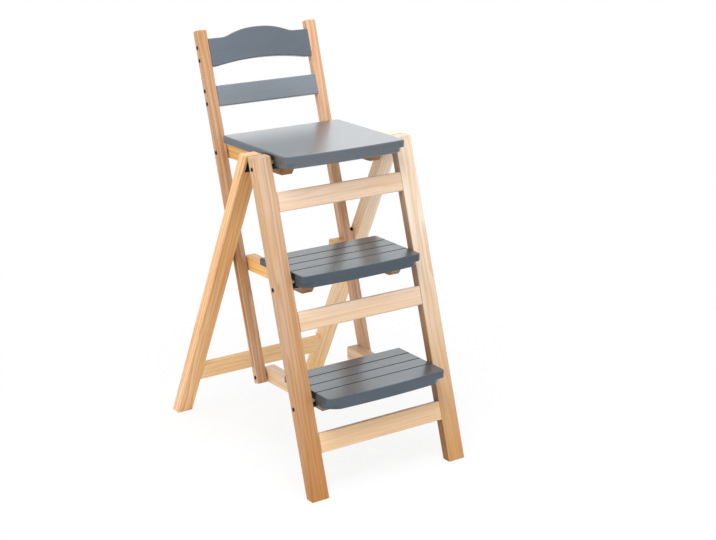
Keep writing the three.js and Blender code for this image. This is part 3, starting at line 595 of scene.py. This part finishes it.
def crest_edges(across, half):
    """Lower and upper edge of the crest rail: a parabola below, and two S curves that meet above.

    The S is a cubic Bezier curve, the sum of its four handles times (1-t)^3, 3t(1-t)^2, 3t^2(1-t)
    and t^3.
    """
    t = np.linspace(0.0, 1.0, CURVE_STEPS)
    weights = np.stack([(1 - t) ** 3, 3 * t * (1 - t) ** 2, 3 * t**2 * (1 - t), t**3], axis=-1)
    curve = weights @ (HUMP_HANDLES * [half, 1.0])
    rise = np.interp(np.abs(across), curve[::-1, 0], curve[::-1, 1], right=0.0)
    arch = ARCH_RISE * np.clip(1 - (across / (ARCH_SHARE * half)) ** 2, 0.0, None)
    return arch, CREST_SHOULDER + rise


# %% Make the crest rail and the slat
def make_backrest_rail(name, node, low, lower, upper, across):
    """A backrest rail between the posts, leaning with them."""
    base = BACKREST_BASE + low
    points = rail_points(across, base + lower, base + upper, RAIL_THICKNESS, RAIL_EDGE)
    points[..., 1] += RAIL_THICKNESS / 2 + RAIL_SET_BACK - POST_DEPTH / 2
    placed = stand(points, FRONT_LEAN, POST_FOOT)
    faces = ring_faces(*placed.shape[:2])
    rail = make_piece(name, placed, faces, "back_frame", PAINTS[name], BACKREST_CREASE)
    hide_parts(node)
    print(f"{name}: {len(across)} stations, {upper.max() - lower.min():.1f} mm over all")


backrest_across = np.linspace(-BACKREST_HALF, BACKREST_HALF, STATIONS)
crest_lower, crest_upper = crest_edges(backrest_across, BACKREST_HALF)
make_backrest_rail("crest", "crest_rail", CREST_LOW, crest_lower, crest_upper, backrest_across)
flat = np.zeros_like(backrest_across)
make_backrest_rail("slat", "lower_slat", SLAT_LOW, flat, flat + SLAT_HEIGHT, backrest_across)

# %% [markdown]
# ## Legs, posts, rungs and rails
#
# The sticks of the frame are planed pine with mortises, bolt holes and long slots, and the CAD solids
# already have all of them. Drawing them again would only lose the holes. So each is copied, its flat
# faces are joined and divided anew into even triangles, and a fine bevel takes the machine edge off,
# the way sandpaper does. What tells the sticks apart is their wood, with painted light and shade on a
# few: each gets a pine finish of its own.

# %% Copy a solid and soften its edges
WOOD_EDGE, STEEL_EDGE, EDGE_STEPS = 0.7, 0.25, 3
FLAT_ENOUGH = math.radians(0.5)


def soften(node, radius, finish):
    """A merged copy of a CAD solid with its edges rounded, in its place."""
    mesh = frame["nodes"][node].data.copy()
    mesh.name = f"{node}_wood"
    work = bmesh.new()
    work.from_mesh(mesh)
    bmesh.ops.remove_doubles(work, verts=work.verts, dist=CAD_MERGE_DISTANCE)
    bmesh.ops.dissolve_limit(work, angle_limit=FLAT_ENOUGH, verts=work.verts, edges=work.edges)
    bmesh.ops.triangulate(work, faces=work.faces, quad_method="BEAUTY", ngon_method="BEAUTY")
    work.to_mesh(mesh)
    work.free()
    piece = finish_piece(f"{node}_soft", mesh, home[node], finish, CUT_CREASE)
    piece.modifiers.clear()
    bevel = piece.modifiers.new("soft edge", "BEVEL")
    bevel.width = radius * MM
    bevel.segments = EDGE_STEPS
    bevel.limit_method = "ANGLE"
    bevel.angle_limit = math.radians(CUT_CREASE)
    bevel.harden_normals = True
    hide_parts(node)


def middle_of(node):
    """Centre of a CAD solid's box, in millimetres."""
    low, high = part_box(node)
    return [(a + b) / 2 / MM for a, b in zip(low, high)]


# %% Choose the woods
# pale wood, late wood and warmer wood of each group of sticks, and how their places tone them, some with
# painted shade
LEG_LEFT = dict(
    pale=(0.61, 0.44, 0.34), late=(0.42, 0.21, 0.07), warm=(0.60, 0.37, 0.18), foot=(0.76, 0.52, 0.22)
)
# the right front leg's last colour is painted shade, for its face towards the left leg, which gets less
# light
LEG_RIGHT = dict(
    pale=(0.84, 0.74, 0.64), late=(0.66, 0.44, 0.26), warm=(0.78, 0.62, 0.47),
    foot=(0.68, 0.46, 0.22), inner=(0.52, 0.42, 0.34),
)
REAR_LEFT = dict(pale=(0.97, 0.63, 0.35), late=(0.58, 0.27, 0.08), warm=(0.86, 0.48, 0.20))
# painted light: the right rear leg and the rear rail are painted lighter, for light that the lamps don't
# bring to them
REAR_RIGHT_LIT = dict(
    pale=(1.0, 0.86, 0.72), late=(0.80, 0.54, 0.30), warm=(0.98, 0.78, 0.58), foot=(1.0, 0.80, 0.48)
)
RUNG_WOOD = dict(
    pale=(0.78, 0.60, 0.46), late=(0.62, 0.40, 0.23), warm=(0.74, 0.53, 0.36), ring_depth=0.3
)
LOW_RUNG_WOOD = dict(RUNG_WOOD, foot=(1.05, 0.96, 0.79))
POST_LEFT = dict(pale=(0.62, 0.41, 0.28), late=(0.36, 0.15, 0.04), warm=(0.56, 0.30, 0.12))
POST_RIGHT = dict(pale=(0.76, 0.50, 0.34), late=(0.46, 0.21, 0.08), warm=(0.70, 0.40, 0.20))
RAIL_WOOD = dict(pale=(0.97, 0.62, 0.25), late=(0.70, 0.36, 0.10), warm=(0.90, 0.52, 0.18))
LOW_RAIL_WOOD = dict(pale=(0.84, 0.66, 0.48), late=(0.62, 0.38, 0.20), warm=(0.76, 0.54, 0.34))
# reach from a board's pivot of the painted shade on its rails' front ends, in the shadow under the board
NOSE_SHADE_REACH = 55.0

# %% Give each stick its wood
ALONG_REAR = (REAR_LEAN, 0.0, 0.0)
ACROSS_FRONT = (FRONT_LEAN, -math.pi / 2, 0.0)
ACROSS_REAR = (REAR_LEAN, -math.pi / 2, 0.0)
BACKWARDS = (math.pi / 2, 0.0, 0.0)
BOARDS, SIDES = ("seat", "step_2", "step_1"), ("left", "right")

sticks = {
    "front_leg_left": (ALONG_FRONT, LEG_LEFT),
    "front_leg_right": (ALONG_FRONT, LEG_RIGHT),
    "front_rung_low": (ACROSS_FRONT, LOW_RUNG_WOOD),
    "front_rung_mid": (ACROSS_FRONT, RUNG_WOOD),
    "front_rung_high": (ACROSS_FRONT, RUNG_WOOD),
    "rear_leg_left": (ALONG_REAR, REAR_LEFT),
    "rear_leg_right": (ALONG_REAR, REAR_RIGHT_LIT),
    "rear_rail": (ACROSS_REAR, REAR_RIGHT_LIT),
    "back_post_left": (ALONG_FRONT, POST_LEFT),
    "back_post_right": (ALONG_FRONT, POST_RIGHT),
}
for board, wood in zip(BOARDS, (RAIL_WOOD, RAIL_WOOD, LOW_RAIL_WOOD)):
    for side in SIDES:
        # a rail's front end under its board gets painted shade
        nosed = dict(wood, nose=(PIVOTS[board][0] + NOSE_SHADE_REACH) * MM)
        sticks[f"{board}_rail_{side}"] = (BACKWARDS, nosed)

for seed, (node, (turn, wood)) in enumerate(sticks.items()):
    soften(node, WOOD_EDGE, pine(f"pine, {node}", turn, middle_of(node), seed, wood))
print("sticks:", len(sticks))

# %% [markdown]
# ## Bolts, nuts, sleeves, washers and screws
#
# Everything that turns or clamps is a turned part: a profile spun round its axis, with a recess for
# the key at its ends. Spin would do it, but a grid does it in one go: rows are the profile's points,
# columns the angles, and where the recess is, the radius becomes a hexagon's or a cross's instead of a
# circle's. The axes are read from the CAD solids. The nuts at the rear ends of the rails are hidden
# under plugs of the rails' own wood.

# %% Spin a profile
AROUND = 48
CROSS_WAIST, CROSS_ARM, CROSS_POWER = 0.42, 0.58, 8
ANGLES = np.linspace(0.0, 2 * math.pi, AROUND, endpoint=False)
HEXAGON = math.cos(math.pi / 6) / np.cos(np.mod(ANGLES, math.pi / 3) - math.pi / 6)
CROSS = CROSS_WAIST + CROSS_ARM * np.abs(np.cos(2 * ANGLES)) ** CROSS_POWER
SHAPES = {"round": np.ones_like(ANGLES), "hexagon": HEXAGON, "cross": CROSS}


def spun(profile, axis_y, axis_z, side):
    """Rings round an axis across the chair, from (x, radius, shape) rows, for one side of it."""
    x = side * np.array([row[0] for row in profile])[:, None]
    radius = np.array([row[1] for row in profile])[:, None]
    shape = np.stack([SHAPES[row[2]] for row in profile])
    y = axis_y + radius * shape * np.cos(ANGLES)
    z = axis_z + radius * shape * np.sin(ANGLES)
    return np.stack([np.broadcast_to(x, y.shape), y, z], axis=-1)


def make_turned(node, profile, closed=False):
    """A turned part in place of a CAD solid, on the solid's own axis."""
    x, y, z = middle_of(node)
    points = spun(profile, y, z, math.copysign(1, x))
    faces = ring_faces(*points.shape[:2], closed)
    part = make_piece(f"{node}_turned", points, faces, home[node], STEEL, TURNED_CREASE)
    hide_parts(node)


def recess(x, radius, shape, depth):
    """The rows of a key's recess that opens at x, from its rim to the middle of its floor."""
    return [(x, radius, shape), (x - depth, radius, shape), (x - depth, 0.0, "round")]


def dome(top, radius, edge, steps=4):
    """Rows of a head's softened rim, from its side up to its face."""
    angle = np.linspace(0.0, math.pi / 2, steps)
    return [(top - edge * (1 - math.sin(a)), radius - edge * (1 - math.cos(a)), "round") for a in angle]


# %% Measures of the turned parts, in millimetres
# places are distances from the chair's middle, and a part's own name stands for its radius
RAIL_INNER, RAIL_OUTER, POST_INNER, POST_OUTER, LEG_OUTER = 97.5, 125.5, 128.0, 152.0, 199.0
PLAY = 0.3
SHANK, BORE, BARREL, NECK, HEAD = 3.0, 3.3, 4.2, 3.9, 4.6
FLANGE, FLANGE_RIM, FLANGE_EDGE, FLANGE_PROUD, FLANGE_THICKNESS = 5.4, 4.9, 0.4, 1.9, 1.6
SOCKET, SOCKET_DEPTH, KEY, KEY_DEPTH = 2.3, 1.3, 2.0, 1.8
HEAD_PROUD, HEAD_SUNK, HEAD_EDGE = 0.5, 3.0, 0.45
PLUG, PLUG_RIM, PLUG_EDGE, PLUG_PROUD = 5.1, 4.7, 0.3, 0.5
PLUG_LIP, PLUG_DEPTH, PLUG_ROOM = 0.1, 1.4, 1.8
SLEEVE, SLEEVE_END, WASHER = 5.5, 155.7, 6.0
BLIND_END, BLIND_EDGE = 141.0, 0.6
SCREW, SCREW_NECK, SCREW_HEAD, SCREW_PROUD, SCREW_EDGE = 2.2, 3.6, 4.3, 0.4, 0.35
SCREW_TIP, SCREW_FULL, SCREW_SINK, SCREW_KEY, SCREW_KEY_DEPTH = 102.0, 104.2, 150.0, 1.9, 1.2
PIN, PIN_EDGE, COLLAR, COLLAR_EDGE = 3.0, 0.4, 4.1, 0.3
PIN_TIP, COLLAR_START, COLLAR_END = 144.4, 152.4, 160.7


# %% Profiles, along the distance from the chair's middle
def round_rows(*places):
    """Rows of a round profile from (x, radius) pairs."""
    return [(x, radius, "round") for x, radius in places]


def nut_rows(plugged=False):
    """Connector nut in the rail, with a flange and a socket, or a plain end under a wooden plug."""
    shank = round_rows((RAIL_OUTER, BARREL), (RAIL_OUTER, SHANK))
    if plugged:
        end = RAIL_INNER + PLUG_ROOM
        return round_rows((end, 0.0), (end, BARREL)) + shank
    tip = RAIL_INNER - FLANGE_PROUD
    floor, back = tip + SOCKET_DEPTH, tip + FLANGE_THICKNESS
    socket = [*round_rows((floor, 0.0)), (floor, SOCKET, "hexagon"), (tip, SOCKET, "hexagon")]
    flange = round_rows((tip, FLANGE_RIM), (tip + FLANGE_EDGE, FLANGE), (back, FLANGE), (back, BARREL))
    return socket + flange + shank


def bolt_rows(face, plugged=False):
    """Nut, shank and a head that is set in an outer face under a thin rim."""
    top = face + HEAD_PROUD
    neck = round_rows((face - HEAD_SUNK, SHANK), (face - HEAD_SUNK, NECK), (face, NECK))
    head = neck + dome(top, HEAD, HEAD_EDGE) + recess(top, KEY, "hexagon", KEY_DEPTH)
    return nut_rows(plugged) + head


def tube_rows(start, end, bore, radius, edge=0.3):
    """A short tube with softened rims: round the outside and back through the bore."""
    outside = [(start, radius - edge), (start + edge, radius), (end - edge, radius), (end, radius - edge)]
    return round_rows(*outside, (end, bore), (start, bore))


# %% Profiles of the blind bolt, the screws, the guide pins and the plugs
BLIND_ROWS = nut_rows(True) + round_rows(
    (BLIND_END - BLIND_EDGE, SHANK), (BLIND_END, SHANK - BLIND_EDGE), (BLIND_END, 0.0)
)
SCREW_TOP = POST_OUTER + SCREW_PROUD
SCREW_ROWS = [
    *round_rows((SCREW_TIP, 0.0), (SCREW_FULL, SCREW), (SCREW_SINK, SCREW)),
    *round_rows((SCREW_SINK, SCREW_NECK), (POST_OUTER, SCREW_NECK)),
    *dome(SCREW_TOP, SCREW_HEAD, SCREW_EDGE),
    *recess(SCREW_TOP, SCREW_KEY, "cross", SCREW_KEY_DEPTH),
]
PIN_ROWS = round_rows(
    (PIN_TIP, 0.0),
    (PIN_TIP, PIN - PIN_EDGE),
    (PIN_TIP + PIN_EDGE, PIN),
    (COLLAR_START, PIN),
    (COLLAR_START, COLLAR - COLLAR_EDGE),
    (COLLAR_START + COLLAR_EDGE, COLLAR),
    (COLLAR_END - COLLAR_EDGE, COLLAR),
    (COLLAR_END, COLLAR - COLLAR_EDGE),
    (COLLAR_END, 0.0),
)
PLUG_FACE, PLUG_BACK, PLUG_END = RAIL_INNER - PLUG_PROUD, RAIL_INNER + PLUG_LIP, RAIL_INNER + PLUG_DEPTH
PLUG_ROWS = round_rows(
    (PLUG_FACE, 0.0),
    (PLUG_FACE, PLUG_RIM),
    (PLUG_FACE + PLUG_EDGE, PLUG),
    (PLUG_BACK, PLUG),
    (PLUG_BACK, BARREL),
    (PLUG_END, BARREL),
    (PLUG_END, 0.0),
)


# %% Turn all of them
def plug(board, side):
    """A plug of the rail's own wood over the rear bolt's nut."""
    x, y, z = middle_of(f"{board}_rear_bolt_{side}")
    points = spun(PLUG_ROWS, y, z, math.copysign(1, x))
    faces = ring_faces(*points.shape[:2])
    wood = bpy.data.materials[f"pine, {board}_rail_{side}"]
    make_piece(f"{board}_plug_{side}", points, faces, board, wood, TURNED_CREASE)


rear_rows = dict(seat=bolt_rows(POST_OUTER, True), step_2=BLIND_ROWS, step_1=bolt_rows(POST_OUTER, True))
sleeve_rows = tube_rows(RAIL_OUTER + PLAY, SLEEVE_END, BORE, SLEEVE)
washer_rows = tube_rows(RAIL_OUTER + PLAY, POST_INNER - PLAY, BORE, WASHER)
for board in BOARDS:
    for side in SIDES:
        make_turned(f"{board}_front_bolt_{side}", bolt_rows(LEG_OUTER))
        plug(board, side)
        make_turned(f"{board}_rear_bolt_{side}", rear_rows[board])
        make_turned(f"{board}_sleeve_{side}", sleeve_rows, closed=True)
        make_turned(f"{board}_washer_{side}", washer_rows, closed=True)
for side in SIDES:
    make_turned(f"guide_pin_{side}", PIN_ROWS)
    for rail in ("slat", "crest"):
        for level in ("low", "high"):
            make_turned(f"{rail}_screw_{level}_{side}", SCREW_ROWS)

# %% [markdown]
# ## Butt hinges
#
# A small butt hinge joins each pair of legs at the top: one leaf on the front leg, one on the rear
# leg, and a barrel between them. The CAD leaves have the knuckles and the pin, so they are copied and
# softened like the sticks. The countersunk screws are missing there, so they are turned here, three to
# a leaf, lying flat in the leaf's face.

# %% Measures of the hinges, in millimetres
HINGE_HEIGHT = 679.0
FRONT_LEG_HALF, REAR_LEG_HALF, PIN_OUT, LEAF_FACE = 10.5, 13.0, 3.2, 1.8
LEAF_SCREW_ROWS = [(0.0, 2.3), (0.25, 2.1), (0.3, 1.2), (-0.2, 0.9), (-0.2, 0.0)]
RECESS_UNDER = 1.3
SCREW_PLACES = [(-6.5, 12.0), (6.5, 12.0), (0.0, 28.0)]


# %% Make the hinges
def leaf_screws(node, lean, foot, face, way, pin_height):
    """Heads of the three countersunk screws of a leaf, spun about the leaf's own normal."""
    x, _, _ = middle_of(node)
    out, radius = (np.array(column)[:, None] for column in zip(*LEAF_SCREW_ROWS))
    reach = radius * np.where(radius < RECESS_UNDER, CROSS, 1.0)
    for index, (across, drop) in enumerate(SCREW_PLACES):
        height = pin_height - drop
        spread = [x + across + reach * np.cos(ANGLES), face + way * out + 0 * ANGLES]
        points = stand(np.stack([*spread, height + reach * np.sin(ANGLES)], axis=-1), lean, foot)
        faces = ring_faces(*points.shape[:2])
        name = f"{node}_screw_{index + 1}"
        make_piece(name, points, faces, home[node], STEEL, SCREW_CREASE)


pin_up_front = HINGE_HEIGHT / math.cos(FRONT_LEAN) + (FRONT_LEG_HALF + PIN_OUT) * math.tan(FRONT_LEAN)
pin_up_rear = HINGE_HEIGHT / math.cos(REAR_LEAN) + (REAR_LEG_HALF + PIN_OUT) * math.tan(-REAR_LEAN)
front_face, rear_face = FRONT_LEG_HALF + LEAF_FACE, -REAR_LEG_HALF - LEAF_FACE
for side in SIDES:
    front_leaf, rear_leaf = f"hinge_front_leaf_{side}", f"hinge_rear_leaf_{side}"
    for leaf in (front_leaf, rear_leaf):
        soften(leaf, STEEL_EDGE, STEEL)
    leaf_screws(front_leaf, FRONT_LEAN, (FRONT_FOOT, 0.0), front_face, 1, pin_up_front)
    leaf_screws(rear_leaf, REAR_LEAN, (REAR_FOOT, 0.0), rear_face, -1, pin_up_rear)
print("hinges:", len(SIDES), "with", len(SCREW_PLACES), "screws to a leaf")

# %% [markdown]
# ## Floor, light and camera
#
# The photograph is a catalogue picture on pure white. The floor and the world are white to the camera
# by colour, not by more light: Light Path tells camera and mirror rays apart from the rays that light
# the chair. The lamps are broad, so that shadows stay soft. The strongest hangs above the chair, a
# little to its front left, two weaker ones stand at its left and front, and a faint one behind it is
# the only one that glossy paint mirrors.

# %% White floor that keeps a soft shadow
FLOOR_HALF = 12.0
FLOOR_GREY = (0.9, 0.9, 0.9, 1)
WHITE = (1, 1, 1, 1)
SHADOW_REACH, SHADOW_SHARE = (0.35, 1.1), (0.86, 1.0)


def make_floor():
    """A plain square on the ground, nearly white to the camera apart from the chair's shadow."""
    corners = np.array([[-1, -1, 0], [1, -1, 0], [1, 1, 0], [-1, 1, 0]]) * FLOOR_HALF
    mesh = bpy.data.meshes.new("floor")
    mesh.from_pydata(corners.tolist(), [], [(0, 1, 2, 3)])
    floor = bpy.data.objects.new("floor", mesh)
    bpy.context.scene.collection.objects.link(floor)
    finish, tree, shader, coords = new_finish("white floor")
    tree.nodes.remove(shader)
    matt = add_node(tree, "BsdfDiffuse", {"Color": FLOOR_GREY}).outputs[0]
    glow = add_node(tree, "Emission", {"Color": WHITE, "Strength": 1.0}).outputs[0]
    camera_ray = add_node(tree, "LightPath").outputs["Is Camera Ray"]
    away = add_node(tree, "VectorMath", {0: coords}, operation="LENGTH").outputs["Value"]
    spread = fade(tree, away, *SHADOW_REACH, *SHADOW_SHARE)
    share = work_out(tree, "MULTIPLY", camera_ray, spread)
    mixed = add_node(tree, "MixShader", {0: share, 1: matt, 2: glow}).outputs[0]
    tree.links.new(mixed, tree.nodes["Material Output"].inputs["Surface"])
    mesh.materials.append(finish)
    print("floor:", 2 * FLOOR_HALF, "m square")


# %% White room whose light is weaker than it looks
ROOM_LIGHT = 0.6


def make_world(level):
    """White to camera, mirror and glass rays, and a grey level of light for everything else."""
    world = bpy.data.worlds.new("white room")
    world.use_nodes = True
    tree = world.node_tree
    rays = add_node(tree, "LightPath").outputs
    seen = work_out(tree, "MAXIMUM", rays["Is Camera Ray"], rays["Is Glossy Ray"])
    seen = work_out(tree, "MAXIMUM", seen, rays["Is Transmission Ray"])
    background = tree.nodes["Background"]
    background.inputs["Color"].default_value = WHITE
    tree.links.new(sum_up(tree, seen, level, 1.0 - level), background.inputs["Strength"])
    bpy.context.scene.world = world


make_floor()
make_world(ROOM_LIGHT)

# %% Lamps
# place and aim in metres, size in metres, power in watts, and whether glossy paint mirrors the lamp
LAMPS = {
    "upper lamp": ((-0.7, -0.9, 2.9), (0.0, 0.0, 0.5), 1.4, 53.0, False),
    "left lamp": ((-2.6, -0.4, 1.0), (0.0, 0.0, 0.4), 1.5, 17.0, False),
    "front lamp": ((1.0, -2.9, 0.8), (0.0, 0.0, 0.4), 1.8, 15.5, False),
    "back lamp": ((1.12, 1.8, 1.76), (0.0, 0.0, 0.6), 1.7, 5.8, True),
}


def look_at(place, aim):
    """The turn that points an object's -Z from a place at an aim, with Y upwards."""
    return (Vector(aim) - Vector(place)).to_track_quat("-Z", "Y").to_euler()


for name, (place, aim, size, watts, mirrored) in LAMPS.items():
    light = bpy.data.lights.new(name, "AREA")
    light.size = size
    light.energy = watts
    lamp = bpy.data.objects.new(name, light)
    lamp.location = place
    lamp.rotation_euler = look_at(place, aim)
    lamp.visible_glossy = mirrored
    bpy.context.scene.collection.objects.link(lamp)
print("lamps:", ", ".join(LAMPS))

# %% Camera at the photograph's angle
CAMERA_PLACE = (-1.7296, -2.3962 + FRONT_FOOT * MM, 1.3941)
CAMERA_AIM = (0.2518, 0.4781 + FRONT_FOOT * MM, 0.2951)
FOCAL_LENGTH, SENSOR_WIDTH = 76.48, 36.0

bpy.context.scene.view_settings.view_transform = "Standard"
lens = bpy.data.cameras.new("camera")
lens.sensor_width = SENSOR_WIDTH
lens.lens = FOCAL_LENGTH
camera = bpy.data.objects.new("camera", lens)
camera.location = CAMERA_PLACE
camera.rotation_euler = look_at(CAMERA_PLACE, CAMERA_AIM)
bpy.context.scene.collection.objects.link(camera)
bpy.context.scene.camera = camera
